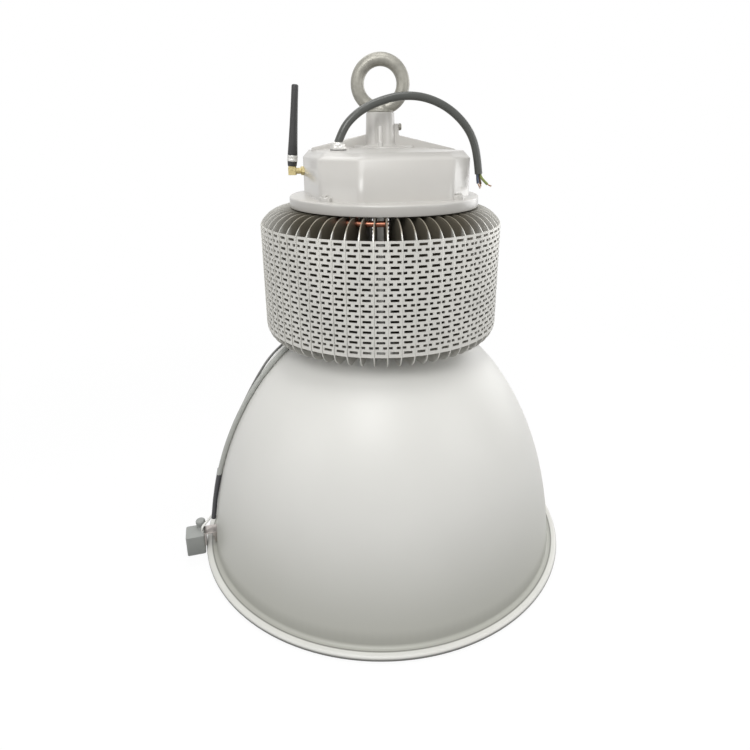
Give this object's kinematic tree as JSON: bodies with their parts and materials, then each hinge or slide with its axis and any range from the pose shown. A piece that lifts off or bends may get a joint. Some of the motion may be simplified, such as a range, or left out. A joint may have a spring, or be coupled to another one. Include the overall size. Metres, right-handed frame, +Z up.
{
  "type": "high bay light",
  "caption": "Hanging high bay light with a deep spun reflector, ring of perforated cooling fins, cast driver housing, eye bolt, supply cable, antenna and rim sensor.",
  "frame": {"origin": "centre of the reflector's mouth, on the plane that its rolled rim rests on", "axes": "+Z up along the reflector's axis to the eye bolt, -Y to the front, the rim sensor on the -X side"},
  "size_m": [0.4345, 0.42, 0.5283],
  "materials": {
    "reflector_white": "satin",
    "fin_aluminium": "satin",
    "machined_aluminium": "satin",
    "copper": "satin",
    "housing_paint": "gloss",
    "plated_steel": "satin",
    "black_rubber": "satin",
    "cable_grey": "satin",
    "brass": "satin",
    "band_white": "matte",
    "grey_plastic": "matte",
    "window_white": "satin",
    "board_green": "satin",
    "board_white": "satin",
    "led_yellow": "gloss",
    "glass": "gloss",
    "core_blue": "satin",
    "core_brown": "satin",
    "core_green_yellow": "satin"
  },
  "bodies": {
    "root": {"reflector": "reflector_white", "fins_front": "fin_aluminium", "fins_right": "fin_aluminium", "fins_back": "fin_aluminium", "fins_left": "fin_aluminium", "heat_spreader": "machined_aluminium", "heat_pipes": "copper", "support_posts": "plated_steel", "driver_housing": "housing_paint", "housing_base": "machined_aluminium", "housing_gasket": "black_rubber", "flange_screws": "plated_steel", "driver_module": "machined_aluminium", "control_board": "board_green", "board_standoffs": "brass", "terminal_block": "grey_plastic", "eye_bolt": "plated_steel", "eye_bolt_nut": "plated_steel", "eye_lock_screw": "plated_steel", "cable_gland_body": "plated_steel", "cable_gland_nut": "plated_steel", "gland_lock_nut": "plated_steel", "power_cable": "cable_grey", "core_blue": "core_blue", "core_brown": "core_brown", "core_green_yellow": "core_green_yellow", "antenna_whip": "black_rubber", "antenna_band": "band_white", "antenna_elbow": "brass", "antenna_nut": "brass", "led_board": "board_white", "led_chips": "led_yellow", "glass_lens": "glass", "lens_gasket": "black_rubber", "lens_holder": "machined_aluminium", "lens_holder_screws": "plated_steel", "reflector_screws": "plated_steel", "sensor_box": "grey_plastic", "sensor_window": "window_white", "sensor_thumb_nut": "grey_plastic", "sensor_bracket": "plated_steel", "bracket_screw": "plated_steel", "bracket_nut": "plated_steel", "sensor_conduit": "grey_plastic", "sensor_lead": "black_rubber", "heat_shrink_sleeve": "black_rubber", "sensor_wires": "band_white"}
  },
  "joints": []
}
